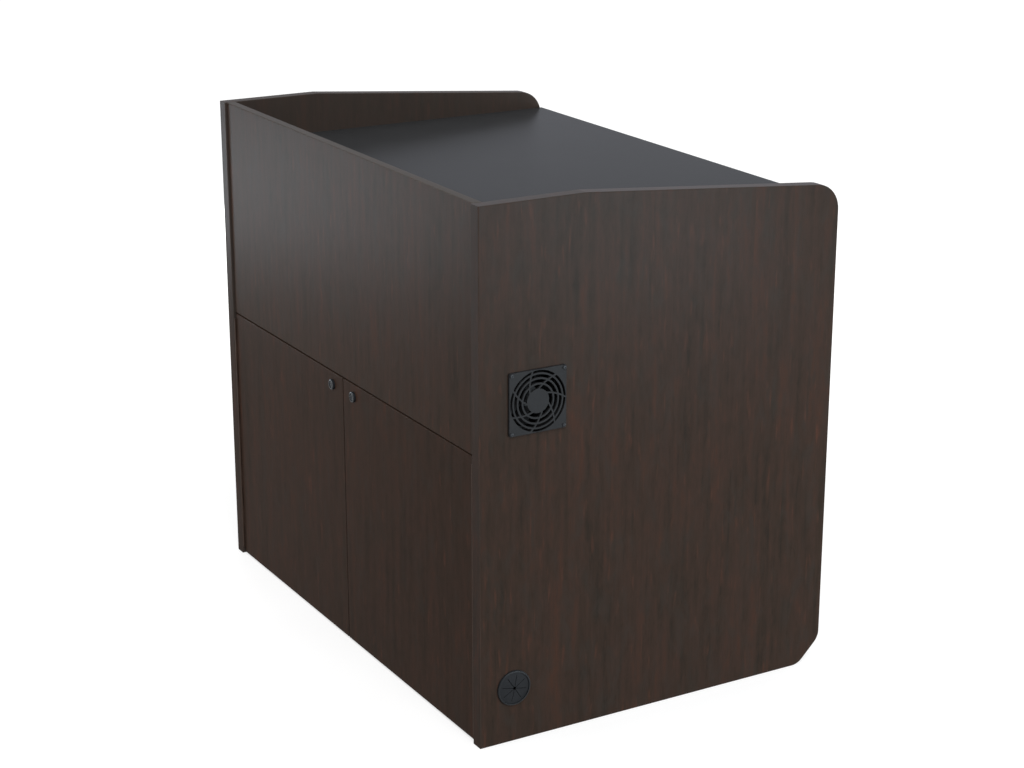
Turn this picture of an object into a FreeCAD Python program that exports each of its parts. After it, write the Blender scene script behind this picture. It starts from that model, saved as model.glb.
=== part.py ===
import FreeCAD, Part
import math
import os

# Multimedia lectern, free-standing. Millimetres, +Z up, floor at z = 0.
# -Y is the audience side (two doors below a fixed panel), +Y the presenter side.
# +X is the side that carries the fan guard and the cable grommet.

# Overall size
WIDTH = 1137.0
DEPTH = 787.0
HEIGHT = 1038.0

# Side panel outline
SIDE_T = 28.0
TOP_FLAT = 219.0
TOP_SLOPE_DEG = 5.0
TOP_CORNER_R = 54.0
TOE_CHAMFER = 50.0
TOE_BLEND_R = 35.0
EDGE_R = 1.5

# Boards and gaps
BOARD_T = 19.0
UPPER_PANEL_H = 467.5
RECESS = 5.0
PANEL_GAP = 0.5
HINGE_GAP = 4.0
DOOR_GAP = 3.0
DOOR_FLOOR_GAP = 3.0
STOP_GAP = 1.5

# Work surface, hung from the top edge, and the levels below it
WORK_DROP = 85.0
WORK_T = 28.0
WORK_BAND_T = 3.0
KEYBOARD_SPACE = 95.0
RAIL_H = 40.0
FLOOR_BOARD_Z = 50.0
TOE_FROM_REAR = 75.0
CABLE_CHASE = 40.0
CLEAT = 28.0

# Fits: parts that run in each other, drilled holes, and how far a cut reaches past a piece
RUN_CLEAR = 0.05
HOLE_CLEAR = 0.2
CUT_OVER = 1.0

# Adjustable shelf in the open bay
SHELF_Z = 430.0
SHELF_PLAY = 1.0
PIN_R = 2.5
PIN_HOLE_DEPTH = 12.0
PIN_LENGTH = 11.0
PIN_NOSE_R = 4.5
PIN_NOSE_L = 9.0
PIN_PITCH = 32.0
PIN_ROWS = 7
PIN_INSET = 80.5

# Equipment rack rails
UNIT_H = 44.45
UNIT_HOLE_STEP = 15.875
RACK_HOLE_SPAN = 465.1
RACK_CLEAR = 451.0
RACK_HOLE_R = 2.4
RACK_FROM_REAR = 90.0
RACK_FOOT = 15.0
RAIL_T = 2.5
RAIL_LEG = 35.0
RAIL_BEND_R = 1.0

# Continuous hinges
KNUCKLE_R = 1.85
KNUCKLE_PITCH = 50.0
KNUCKLE_GAP = 0.4
KNUCKLE_RELIEF = 0.3
HINGE_PIN_R = 0.8
HINGE_END = 12.0
LEAF_T = 1.0
LEAF_W = 17.0

# Cam locks
LOCK_INSET = 46.0
LOCK_DROP = 26.0
LOCK_FACE_R = 11.0
LOCK_FACE_FILLET = 2.0
LOCK_PROUD = 5.0
LOCK_BARREL_R = 9.5
LOCK_FLATS = 16.0
LOCK_NUT_AF = 24.0
LOCK_NUT_T = 4.0
PLUG_R = 7.5
PLUG_SINK = 1.0
KEYWAY_W = 2.2
KEYWAY_H = 9.2
KEYWAY_DEPTH = 9.0
CAM_T = 2.0
CAM_W = 14.0
CAM_REACH = 33.0
CAM_SQUARE = 8.0
CAM_PLAY = 0.5
CAM_SCREW_R = 2.0
CAM_SCREW_BITE = 4.5
CAM_TAP_DEPTH = 5.0
CAM_SCREW_HEAD_R = 6.5
CAM_SCREW_HEAD_H = 2.5
STRIKE_T = 5.0
STRIKE_H = 42.0
STRIKE_LAP = 10.0

# Fan guard
FAN_FROM_FRONT = 119.5
FAN_DROP = 371.0
FAN_SIZE = 120.0
FAN_HOLE_R = 59.0
GUARD_T = 4.0
GUARD_CORNER_R = 4.0
GUARD_EDGE_R = 1.0
GUARD_OPEN_R = 58.0
GUARD_HUB_R = 23.0
GUARD_RINGS = (32.4, 42.5, 51.7)
GUARD_RING_W = 3.4
GUARD_SPOKES = 7
GUARD_SPOKE_W = 3.0
GUARD_SPOKE_LAP = 0.8
GUARD_SPOKE_START_DEG = 100.8
GUARD_SPOKE_SWEEP_DEG = 38.0
GUARD_SPOKE_BOW = 2.8
GUARD_PITCH = 110.0

# Screws of the fan and its guard
SCREW_R = 1.75
SCREW_HEAD_R = 3.8
SCREW_HEAD_H = 2.6
SCREW_HEAD_FILLET = 1.8
SCREW_CROSS_W = 0.9
SCREW_CROSS_L = 3.6
SCREW_CROSS_DEPTH = 1.2
SCREW_TIP_GAP = 0.5
GUARD_SCREW_BITE = 16.0
FAN_SCREW_BITE = 14.0

# Fan body
FAN_T = 25.0
FAN_CORNER_R = 5.0
FAN_FLANGE_T = 4.0
FAN_BORE_R = 57.5
FAN_DUCT_T = 2.0
FAN_PITCH = 105.0
FAN_POST_R = 4.0
FAN_STRUT_W = 5.0
FAN_STRUT_T = 3.0
FAN_STRUTS = 4
MOTOR_SEAT_LIP = 1.5
BEARING_R = 5.0
BEARING_H = 17.0
SHAFT_SEAT = 1.5

# Fan rotor
FAN_BLADES = 7
ROTOR_HUB_R = 20.0
CUP_BACK_GAP = 4.0
CUP_FACE_GAP = 2.0
CUP_WALL = 1.6
CUP_FACE_T = 1.8
SHAFT_R = 1.5
SHAFT_START = 2.0
SHAFT_LENGTH = 20.5
BLADE_TIP_R = 55.5
BLADE_SINK = 0.8
BLADE_SHIFT = 1.0
BLADE_UNDERRUN = 6.0
BLADE_OVERRUN = 4.0
BLADE_ROOT_CHORD = 19.0
BLADE_ROOT_PITCH_DEG = 48.0
BLADE_ROOT_CAMBER = 1.6
BLADE_ROOT_T = 1.6
BLADE_TIP_CHORD = 34.0
BLADE_TIP_PITCH_DEG = 27.0
BLADE_TIP_CAMBER = 2.6
BLADE_TIP_T = 1.3

# Cable grommet
GROMMET_FROM_FRONT = 71.0
GROMMET_Z = 110.0
GROMMET_FLANGE_R = 35.0
GROMMET_PROUD = 4.5
GROMMET_ROUND = 2.6
GROMMET_LIP_R = 0.5
GROMMET_BODY_R = 30.0
GROMMET_BORE_R = 26.5
GROMMET_TAIL_GAP = 3.0
MEMBRANE_R = 31.5
MEMBRANE_T = 1.6
MEMBRANE_SEAT = 0.8
MEMBRANE_DOME = 1.6
SLIT_COUNT = 8
SLIT_W = 1.0
SLIT_END_R = 26.5
SLIT_TURN_DEG = -12.0
CABLE_HOLE_R = 3.0

# Keyboard tray
TRAY_W = 620.0
TRAY_D = 300.0
TRAY_T = 16.0
TRAY_LIFT = 20.0
TRAY_FROM_REAR = 30.0
RUNNER_WEB_T = 2.0
RUNNER_END = 4.0
TONGUE_W = 9.0
TONGUE_H = 10.0
SLIDE_PLAY = 0.3
CHANNEL_T = 1.5
CHANNEL_LIP_GAP = 1.0
HANGER_FLANGE = 26.0

# Levelling feet
FOOT_FROM_SIDE = 30.0
FOOT_FROM_FRONT = 83.5
FOOT_FROM_REAR = 143.5
FOOT_PAD_R = 20.0
FOOT_PAD_T = 6.0
FOOT_PAD_TAPER = 6.0
FOOT_HEX_AF = 17.0
FOOT_HEX_H = 6.0
FOOT_STUD_R = 5.0
FOOT_STUD_TOP = 44.0
FOOT_FLANGE_Z = 24.0
FOOT_FLANGE_W = 55.0
FOOT_BRACKET_W = 60.0
FOOT_BRACKET_T = 3.0
FOOT_BOSS_WALL = 4.0
FOOT_BOSS_H = 10.0

# Corner brackets under the work surface
BRACKET_LEG = 40.0
BRACKET_W = 30.0
BRACKET_T = 2.5
BRACKET_BEND_R = 2.0
BRACKET_INSET = 193.5

Vector = FreeCAD.Vector
X, Y, Z = Vector(1, 0, 0), Vector(0, 1, 0), Vector(0, 0, 1)
ORIGIN = Vector(0, 0, 0)
TINY = 1e-6

# Planes shared by several pieces
HALF_W = WIDTH / 2
INNER_X = HALF_W - SIDE_T
FRONT_Y = -DEPTH / 2
REAR_Y = DEPTH / 2
FRONT_BACK_Y = FRONT_Y + RECESS + BOARD_T
REAR_BACK_Y = REAR_Y - RECESS - BOARD_T
CHASE_Y = FRONT_BACK_Y + CABLE_CHASE
SHELF_REAR_Y = REAR_BACK_Y - CABLE_CHASE
PIN_YS = (CHASE_Y + PIN_INSET, SHELF_REAR_Y - PIN_INSET)
SEAM_Z = HEIGHT - UPPER_PANEL_H
WORK_Z = HEIGHT - WORK_DROP
WORK_UNDER_Z = WORK_Z - WORK_T
SHELF_TOP_Z = WORK_UNDER_Z - KEYBOARD_SPACE
SUB_TOP_Z = SHELF_TOP_Z - BOARD_T
FLOOR_TOP_Z = FLOOR_BOARD_Z + BOARD_T
SHELF_PIN_Z = SHELF_Z - PIN_R
DIVIDER_X = BOARD_T / 2
BAY_X = (DIVIDER_X + INNER_X) / 2
RACK_UNITS = int((SUB_TOP_Z - FLOOR_TOP_Z - RACK_FOOT) // UNIT_H)
FRONT_DOOR_TOP = SEAM_Z - DOOR_GAP / 2
FRONT_STRIKE_TOP = FRONT_DOOR_TOP - STRIKE_LAP + STRIKE_H
REAR_RAIL_Z = SHELF_TOP_Z - RAIL_H
REAR_DOOR_TOP = REAR_RAIL_Z - DOOR_GAP
REAR_DOOR_BOTTOM = FLOOR_BOARD_Z + DOOR_FLOOR_GAP
FAN_Y = FRONT_Y + FAN_FROM_FRONT
FAN_Z = HEIGHT - FAN_DROP
GROMMET_Y = FRONT_Y + GROMMET_FROM_FRONT
TRAY_FRONT = REAR_Y - TRAY_FROM_REAR
TRAY_BACK = TRAY_FRONT - TRAY_D
TRAY_Z = SHELF_TOP_Z + TRAY_LIFT
RUNNER_D = TRAY_D - RUNNER_END
TONGUE_X = TRAY_W / 2 + RUNNER_WEB_T
TONGUE_Z = TRAY_Z + TRAY_T / 2
FOOT_YS = (FRONT_Y + FOOT_FROM_FRONT, REAR_Y - FOOT_FROM_REAR)


def block(x0, x1, y0, y1, z0, z1):
    return Part.makeBox(x1 - x0, y1 - y0, z1 - z0, Vector(x0, y0, z0))


def rod(radius, start, axis, length):
    return Part.makeCylinder(radius, length, start, axis)


def bore(radius, start, axis, length):
    """Cutting rod that reaches past both ends of what it cuts."""
    return rod(radius, start - axis * CUT_OVER, axis, length + 2 * CUT_OVER)


def tube(outer, inner, start, axis, length):
    return rod(outer, start, axis, length).cut(rod(inner, start, axis, length))


def outline(corners, to_point):
    """Closed wire through (u, v, radius) corners, each rounded by its radius."""
    count = len(corners)
    points = [Vector(u, v, 0) for u, v, _ in corners]
    spans = []
    for i, (_, _, radius) in enumerate(corners):
        here = points[i]
        came = (here - points[i - 1]).normalize()
        goes = (points[(i + 1) % count] - here).normalize()
        if radius <= 0:
            spans.append((here, None, here))
            continue
        half = came.getAngle(goes) / 2
        run = radius * math.tan(half)
        bulge = radius * (1 / math.cos(half) - 1)
        inward = (goes - came).normalize()
        spans.append((here - came * run, here + inward * bulge, here + goes * run))
    edges = []
    for i, (start, middle, end) in enumerate(spans):
        if middle is not None:
            arc = [to_point(p.x, p.y) for p in (start, middle, end)]
            edges.append(Part.Arc(*arc).toShape())
        following = spans[(i + 1) % count][0]
        if (following - end).Length > TINY:
            line = Part.LineSegment(to_point(end.x, end.y), to_point(following.x, following.y))
            edges.append(line.toShape())
    return Part.Wire(edges)


def prism(corners, to_point, travel):
    return Part.Face(outline(corners, to_point)).extrude(travel)


def eased(shape, edges=None):
    """Softens the given edges of a board, or all of them, as edge banding does."""
    return shape.makeFillet(EDGE_R, edges or shape.Edges)


def long_edges(board):
    """Edges of a board that run across the cabinet."""
    return [e for e in board.Edges if e.BoundBox.XLength > BOARD_T]


def square_corners(side, radius):
    h = side / 2
    return [(a * h, b * h, radius) for a, b in ((-1, -1), (1, -1), (1, 1), (-1, 1))]


def hexagon(across_flats, u, v):
    reach = across_flats / math.sqrt(3)
    turns = [math.radians(60 * i + 30) for i in range(6)]
    return [(u + reach * math.sin(turn), v + reach * math.cos(turn), 0) for turn in turns]


def mirrored(shape):
    return shape.mirror(ORIGIN, X)


def four(pitch):
    h = pitch / 2
    return [(a * h, b * h) for a in (-1, 1) for b in (-1, 1)]


# Cabinet boards


def side_panel(side):
    """Side board: level top, then a fall toward the presenter with a rounded corner."""
    drop = (DEPTH - TOP_FLAT) * math.tan(math.radians(TOP_SLOPE_DEG))
    corners = [
        (FRONT_Y, 0, 0),
        (FRONT_Y, HEIGHT, 0),
        (FRONT_Y + TOP_FLAT, HEIGHT, 0),
        (REAR_Y, HEIGHT - drop, TOP_CORNER_R),
        (REAR_Y, TOE_CHAMFER, TOE_BLEND_R),
        (REAR_Y - TOE_CHAMFER, 0, TOE_BLEND_R),
    ]
    panel = prism(corners, lambda y, z: Vector(side * INNER_X, y, z), X * (side * SIDE_T))
    return eased(panel, [e for e in panel.Edges if e.BoundBox.XLength < TINY])


def pin_holes(face_x, direction):
    """Two rows of shelf pin holes drilled into a bay wall."""
    middle = PIN_ROWS // 2
    starts = [
        Vector(face_x, y, SHELF_PIN_Z + (row - middle) * PIN_PITCH)
        for y in PIN_YS
        for row in range(PIN_ROWS)
    ]
    return [rod(PIN_R, start, X * direction, PIN_HOLE_DEPTH) for start in starts]


def left_side_panel():
    return side_panel(-1).cut(pin_holes(-INNER_X, -1))


def right_side_panel():
    fan = Vector(INNER_X, FAN_Y, FAN_Z)
    grommet = Vector(INNER_X, GROMMET_Y, GROMMET_Z)
    holes = [
        bore(FAN_HOLE_R, fan, X, SIDE_T),
        bore(GROMMET_BODY_R + HOLE_CLEAR, grommet, X, SIDE_T),
    ]
    for y, z in four(GUARD_PITCH):
        start = fan + Vector(SIDE_T, y, z)
        holes.append(rod(SCREW_R + RUN_CLEAR, start, X * -1, GUARD_SCREW_BITE + SCREW_TIP_GAP))
    for y, z in four(FAN_PITCH):
        start = fan + Vector(0, y, z)
        holes.append(rod(SCREW_R + RUN_CLEAR, start, X, FAN_SCREW_BITE + SCREW_TIP_GAP))
    return side_panel(1).cut(holes)


def upper_front_panel():
    half = INNER_X - PANEL_GAP
    low = SEAM_Z + DOOR_GAP / 2
    return eased(block(-half, half, FRONT_Y + RECESS, FRONT_BACK_Y, low, HEIGHT))


def upper_panel_cleats():
    """Battens that hold the fixed audience panel to the side boards."""
    left = block(-INNER_X, -INNER_X + CLEAT, FRONT_BACK_Y, FRONT_BACK_Y + CLEAT,
                 FRONT_STRIKE_TOP, WORK_UNDER_Z)
    return [left, mirrored(left)]


def worksurface():
    return block(-INNER_X, INNER_X, FRONT_BACK_Y, REAR_Y, WORK_UNDER_Z, WORK_Z)


def worksurface_edge_band():
    face_y = REAR_Y + WORK_BAND_T
    band = block(-INNER_X, INNER_X, REAR_Y, face_y, WORK_UNDER_Z, WORK_Z)
    return eased(band, [e for e in long_edges(band) if e.CenterOfMass.y > face_y - TINY])


def worksurface_brackets():
    """Angles that hang the work surface on the side boards."""
    wall = -INNER_X
    top = WORK_UNDER_Z
    corners = [
        (wall, top, 0),
        (wall, top - BRACKET_LEG, 0),
        (wall + BRACKET_T, top - BRACKET_LEG, 0),
        (wall + BRACKET_T, top - BRACKET_T, BRACKET_BEND_R),
        (wall + BRACKET_LEG, top - BRACKET_T, 0),
        (wall + BRACKET_LEG, top, 0),
    ]
    brackets = []
    for y in (FRONT_Y + BRACKET_INSET, REAR_Y - BRACKET_INSET):
        start = y - BRACKET_W / 2
        left = prism(corners, lambda x, z: Vector(x, start, z), Y * BRACKET_W)
        brackets += [left, mirrored(left)]
    return brackets


def sub_top():
    return block(-INNER_X, INNER_X, CHASE_Y, REAR_BACK_Y, SUB_TOP_Z, SHELF_TOP_Z)


def rear_rail():
    return block(-INNER_X, INNER_X, REAR_BACK_Y, REAR_BACK_Y + BOARD_T, REAR_RAIL_Z, SHELF_TOP_Z)


def centre_divider():
    board = block(-DIVIDER_X, DIVIDER_X, CHASE_Y, REAR_BACK_Y - STOP_GAP, FLOOR_TOP_Z, SUB_TOP_Z)
    return board.cut(pin_holes(-DIVIDER_X, 1))


def bottom_panel():
    return block(-INNER_X, INNER_X, FRONT_BACK_Y + STOP_GAP, REAR_BACK_Y - STOP_GAP,
                 FLOOR_BOARD_Z, FLOOR_TOP_Z)


def toe_kick():
    face_y = REAR_Y - TOE_FROM_REAR
    return block(-INNER_X, INNER_X, face_y - BOARD_T, face_y, DOOR_FLOOR_GAP, FLOOR_BOARD_Z)


def adjustable_shelf():
    board = block(-INNER_X + SHELF_PLAY, -DIVIDER_X - SHELF_PLAY, CHASE_Y, SHELF_REAR_Y,
                  SHELF_Z, SHELF_Z + BOARD_T)
    return eased(board, long_edges(board))


def shelf_pins():
    """Pegs with a collar against the wall and a flat nose under the shelf."""
    pins = []
    for face_x, inward in ((-INNER_X, 1), (-DIVIDER_X, -1)):
        for y in PIN_YS:
            seat = Vector(face_x, y, SHELF_PIN_Z)
            peg = rod(PIN_R - RUN_CLEAR, seat, X * -inward, PIN_LENGTH)
            nose = rod(PIN_NOSE_R, seat, X * inward, PIN_NOSE_L)
            below = block(-WIDTH, WIDTH, y - PIN_NOSE_L, y + PIN_NOSE_L, SHELF_PIN_Z - PIN_NOSE_L, SHELF_Z)
            pins.append(peg.fuse(nose.common(below)).removeSplitter())
    return pins


def rack_rail(side):
    """Angle with three tapped holes per unit, its leg on the wall of the rack bay."""
    face_y = REAR_Y - RACK_FROM_REAR
    low = FLOOR_TOP_Z + RACK_FOOT
    wall = (INNER_X - DIVIDER_X) / 2
    near = RACK_CLEAR / 2
    corners = [
        (near, face_y, 0),
        (near, face_y - RAIL_T, 0),
        (wall - RAIL_T, face_y - RAIL_T, RAIL_BEND_R),
        (wall - RAIL_T, face_y - RAIL_LEG, 0),
        (wall, face_y - RAIL_LEG, 0),
        (wall, face_y, RAIL_BEND_R + RAIL_T),
    ]
    rail = prism(corners, lambda x, y: Vector(BAY_X + side * x, y, low), Z * (RACK_UNITS * UNIT_H))
    hole_x = BAY_X + side * RACK_HOLE_SPAN / 2
    holes = []
    for unit in range(RACK_UNITS):
        middle = low + (unit + 0.5) * UNIT_H
        for z in (middle - UNIT_HOLE_STEP, middle, middle + UNIT_HOLE_STEP):
            holes.append(bore(RACK_HOLE_R, Vector(hole_x, face_y, z), Y * -1, RAIL_T))
    return rail.cut(holes)


def strike_bar(x0, x1, back_y, inward, door_top, high):
    """Flat bar behind a door's top edge: door stop and strike for the lock cam."""
    y0, y1 = sorted((back_y, back_y + inward * STRIKE_T))
    return block(x0, x1, y0, y1, door_top - STRIKE_LAP, high)


# Hinged doors, built about the hinge axis at x = 0, y = 0 with the door toward +X
# and the inside of the cabinet toward +Y


def hinge_knuckles(low, high):
    """Heights where each knuckle starts and ends, an odd number of them."""
    count = 2 * round((high - low) / KNUCKLE_PITCH / 2) + 1
    pitch = (high - low) / count
    gap = KNUCKLE_GAP / 2
    return [(low + i * pitch + gap, low + (i + 1) * pitch - gap) for i in range(count)]


def hinge_leaf(knuckles, first, side, low, high):
    """Leaf plate with every second knuckle; side is -1 on the cabinet, 1 on the door."""
    near, far = sorted((side * HINGE_GAP / 2, side * (HINGE_GAP / 2 - LEAF_T)))
    clear = KNUCKLE_R + KNUCKLE_RELIEF
    leaf = block(near, far, clear, LEAF_W, low, high)
    pieces = []
    for z0, z1 in knuckles[first::2]:
        pieces.append(block(near, far, 0, clear, z0, z1))
        pieces.append(rod(KNUCKLE_R, Vector(0, 0, z0), Z, z1 - z0))
    pin_hole = bore(HINGE_PIN_R + RUN_CLEAR, Vector(0, 0, low), Z, high - low)
    return leaf.fuse(pieces).removeSplitter().cut(pin_hole)


def lock_body(at):
    """Threaded barrel with two flats behind a round face that stands proud."""
    length = BOARD_T + STRIKE_T
    front = at - Y * LOCK_PROUD
    face = rod(LOCK_FACE_R, front, Y, LOCK_PROUD)
    rim = [e for e in face.Edges if e.isClosed() and e.CenterOfMass.y < front.y + TINY]
    face = face.makeFillet(LOCK_FACE_FILLET, rim)
    h = LOCK_FLATS / 2
    flats = block(at.x - h, at.x + h, at.y, at.y + length, at.z - LOCK_FACE_R, at.z + LOCK_FACE_R)
    barrel = rod(LOCK_BARREL_R, at, Y, length).common(flats)
    plug_hole = bore(PLUG_R + RUN_CLEAR, front, Y, LOCK_PROUD + length)
    return face.fuse(barrel).removeSplitter().cut(plug_hole)


def lock_nut(at):
    start = at + Y * BOARD_T
    corners = hexagon(LOCK_NUT_AF, start.x, start.z)
    nut = prism(corners, lambda x, z: Vector(x, start.y, z), Y * LOCK_NUT_T)
    return nut.cut(bore(LOCK_BARREL_R + RUN_CLEAR, start, Y, LOCK_NUT_T))


def lock_plug(at):
    """Turning plug with a keyway in front and a square tail, and the screw that holds the cam."""
    front = at - Y * (LOCK_PROUD - PLUG_SINK)
    back = at + Y * (BOARD_T + STRIKE_T)
    end = back + Y * (CAM_PLAY + CAM_T)
    barrel = rod(PLUG_R, front, Y, back.y - front.y)
    h = CAM_SQUARE / 2
    tail = block(at.x - h, at.x + h, back.y, end.y, at.z - h, at.z + h)
    w, k = KEYWAY_W / 2, KEYWAY_H / 2
    keyway = block(at.x - w, at.x + w, front.y - CUT_OVER, front.y + KEYWAY_DEPTH, at.z - k, at.z + k)
    tapped = rod(CAM_SCREW_R, end - Y * CAM_TAP_DEPTH, Y, CAM_TAP_DEPTH + CUT_OVER)
    plug = barrel.fuse(tail).removeSplitter().cut([keyway, tapped])
    head = rod(CAM_SCREW_HEAD_R, end, Y, CAM_SCREW_HEAD_H)
    shank = rod(CAM_SCREW_R - RUN_CLEAR, end - Y * CAM_SCREW_BITE, Y, CAM_SCREW_BITE)
    return [plug, head.fuse(shank).removeSplitter()]


def lock_cam(at):
    """Flat arm lying level toward the hinge when unlocked; a quarter turn raises it."""
    start = at + Y * (BOARD_T + STRIKE_T + CAM_PLAY)
    r = CAM_W / 2
    pivot = rod(r, start, Y, CAM_T)
    tip = rod(r, start - X * CAM_REACH, Y, CAM_T)
    arm = block(at.x - CAM_REACH, at.x, start.y, start.y + CAM_T, at.z - r, at.z + r)
    h = CAM_SQUARE / 2 + RUN_CLEAR
    square = block(at.x - h, at.x + h, start.y - CUT_OVER, start.y + CAM_T + CUT_OVER, at.z - h, at.z + h)
    return arm.fuse([pivot, tip]).removeSplitter().cut(square)


def door_set(width, low, high):
    """Door board with its hinge and lock, all in the door's own frame."""
    face_y = RECESS / 2
    near = HINGE_GAP / 2
    at = Vector(near + width - LOCK_INSET, face_y, high - LOCK_DROP)
    board = eased(block(near, near + width, face_y, face_y + BOARD_T, low, high))
    hinge_low, hinge_high = low + HINGE_END, high - HINGE_END
    knuckles = hinge_knuckles(hinge_low, hinge_high)
    return {
        "door_panel": board.cut(bore(LOCK_BARREL_R + HOLE_CLEAR, at, Y, BOARD_T)),
        "hinge_door_leaf": hinge_leaf(knuckles, 1, 1, hinge_low, hinge_high),
        "hinge_fixed_leaf": hinge_leaf(knuckles, 0, -1, hinge_low, hinge_high),
        "hinge_pin": rod(HINGE_PIN_R, Vector(0, 0, hinge_low), Z, hinge_high - hinge_low),
        "lock_body": lock_body(at),
        "lock_nut": lock_nut(at),
        "lock_plug": Part.makeCompound(lock_plug(at)),
        "lock_cam": lock_cam(at),
    }


def doors():
    """Left and right audience doors and the rack bay door of the presenter side."""
    axis_x = INNER_X - HINGE_GAP / 2
    front = door_set(INNER_X - HINGE_GAP - DOOR_GAP / 2, DOOR_FLOOR_GAP, FRONT_DOOR_TOP)
    rack = door_set(INNER_X - HINGE_GAP + DIVIDER_X, REAR_DOOR_BOTTOM, REAR_DOOR_TOP)
    pieces = {}
    for name, shape in front.items():
        left = shape.translated(Vector(-axis_x, FRONT_Y + RECESS / 2, 0))
        pieces["left_" + name] = left
        pieces["right_" + name] = mirrored(left)
    for name, shape in rack.items():
        turned = shape.rotated(ORIGIN, Z, 180)
        pieces["rack_" + name] = turned.translated(Vector(axis_x, REAR_Y - RECESS / 2, 0))
    return pieces


# Fan and guard, drawn flat in (u, v) with +Z outward, then carried onto the right side board


def on_side(shape, x):
    turned = shape.rotated(ORIGIN, Vector(1, 1, 1), 120)
    return turned.translated(Vector(x, FAN_Y, FAN_Z))


def guard_spoke(index):
    """Curved bar from hub to rim, a band of even width along an arc."""
    rim = math.radians(GUARD_SPOKE_START_DEG - index * 360.0 / GUARD_SPOKES)
    hub = rim + math.radians(GUARD_SPOKE_SWEEP_DEG)
    inner = Vector(math.cos(hub), math.sin(hub), 0) * (GUARD_HUB_R - GUARD_SPOKE_LAP)
    outer = Vector(math.cos(rim), math.sin(rim), 0) * (GUARD_OPEN_R + GUARD_SPOKE_LAP)
    chord = outer - inner
    across = Vector(-chord.y, chord.x, 0).normalize()
    middle = (inner + outer) * 0.5 + across * GUARD_SPOKE_BOW
    centre = Part.Arc(inner, middle, outer).toShape().Curve.Center

    def offset(point, shift):
        return point + (point - centre).normalize() * shift

    h = GUARD_SPOKE_W / 2
    a = [offset(p, -h) for p in (inner, middle, outer)]
    b = [offset(p, h) for p in (outer, middle, inner)]
    wire = Part.Wire([
        Part.Arc(*a).toShape(), Part.LineSegment(a[2], b[0]).toShape(),
        Part.Arc(*b).toShape(), Part.LineSegment(b[2], a[0]).toShape(),
    ])
    return Part.Face(wire).extrude(Z * GUARD_T)


def fan_guard():
    """Square finger guard: hub, three rings and curved spokes in one round opening."""
    plate = prism(square_corners(FAN_SIZE, GUARD_CORNER_R), lambda u, v: Vector(u, v, 0), Z * GUARD_T)
    front = [e for e in plate.Edges if e.BoundBox.ZMin > GUARD_T - TINY]
    plate = plate.makeFillet(GUARD_EDGE_R, front).cut(bore(GUARD_OPEN_R, ORIGIN, Z, GUARD_T))
    h = GUARD_RING_W / 2
    web = [rod(GUARD_HUB_R, ORIGIN, Z, GUARD_T)]
    web += [tube(r + h, r - h, ORIGIN, Z, GUARD_T) for r in GUARD_RINGS]
    web += [guard_spoke(i) for i in range(GUARD_SPOKES)]
    holes = [bore(SCREW_R + HOLE_CLEAR, Vector(u, v, 0), Z, GUARD_T) for u, v in four(GUARD_PITCH)]
    return on_side(plate.fuse(web).removeSplitter().cut(holes), HALF_W)


def screw(seat, outward, shank_length):
    """Pan head screw: a domed head with a cross recess and a plain shank below it."""
    head = rod(SCREW_HEAD_R, seat, outward, SCREW_HEAD_H)
    top = seat + outward * SCREW_HEAD_H
    rim = [e for e in head.Edges if e.isClosed() and (e.CenterOfMass - top).Length < TINY]
    shank = rod(SCREW_R, seat, outward * -1, shank_length)
    d = SCREW_CROSS_DEPTH
    cross = [
        block(top.x - u / 2, top.x + u / 2, top.y - v / 2, top.y + v / 2, top.z - d, top.z + d)
        for u, v in ((SCREW_CROSS_W, SCREW_CROSS_L), (SCREW_CROSS_L, SCREW_CROSS_W))
    ]
    return head.makeFillet(SCREW_HEAD_FILLET, rim).fuse(shank).removeSplitter().cut(cross)


def fan_guard_screws():
    seats = [Vector(u, v, GUARD_T) for u, v in four(GUARD_PITCH)]
    return [on_side(screw(seat, Z, GUARD_T + GUARD_SCREW_BITE), HALF_W) for seat in seats]


def fan_screws():
    seats = [Vector(u, v, -FAN_T) for u, v in four(FAN_PITCH)]
    return [on_side(screw(seat, Z * -1, FAN_T + FAN_SCREW_BITE), INNER_X) for seat in seats]


def fan_frame():
    """Square fan body: two flanges on corner posts, a round duct, struts and the motor seat."""
    back = Vector(0, 0, -FAN_T)
    corners = square_corners(FAN_SIZE, FAN_CORNER_R)
    flanges = [
        prism(corners, lambda u, v: Vector(u, v, low), Z * FAN_FLANGE_T)
        for low in (-FAN_T, -FAN_FLANGE_T)
    ]
    duct = rod(FAN_BORE_R + FAN_DUCT_T, back, Z, FAN_T)
    posts = [rod(FAN_POST_R, back + Vector(u, v, 0), Z, FAN_T) for u, v in four(FAN_PITCH)]
    body = duct.fuse(flanges + posts).cut(bore(FAN_BORE_R, back, Z, FAN_T))
    seat = rod(ROTOR_HUB_R + MOTOR_SEAT_LIP, back, Z, FAN_STRUT_T)
    bearing = rod(BEARING_R, back, Z, BEARING_H)
    w = FAN_STRUT_W / 2
    strut = block(ROTOR_HUB_R, FAN_BORE_R + FAN_DUCT_T / 2, -w, w, -FAN_T, -FAN_T + FAN_STRUT_T)
    turn = 360.0 / FAN_STRUTS
    struts = [strut.rotated(ORIGIN, Z, (i + 0.5) * turn) for i in range(FAN_STRUTS)]
    body = body.fuse([seat, bearing] + struts).removeSplitter()
    holes = [bore(SCREW_R + HOLE_CLEAR, back + Vector(u, v, 0), Z, FAN_T) for u, v in four(FAN_PITCH)]
    holes.append(rod(SHAFT_R + RUN_CLEAR, back + Z * SHAFT_SEAT, Z, FAN_T))
    return on_side(body.cut(holes), INNER_X)


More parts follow.
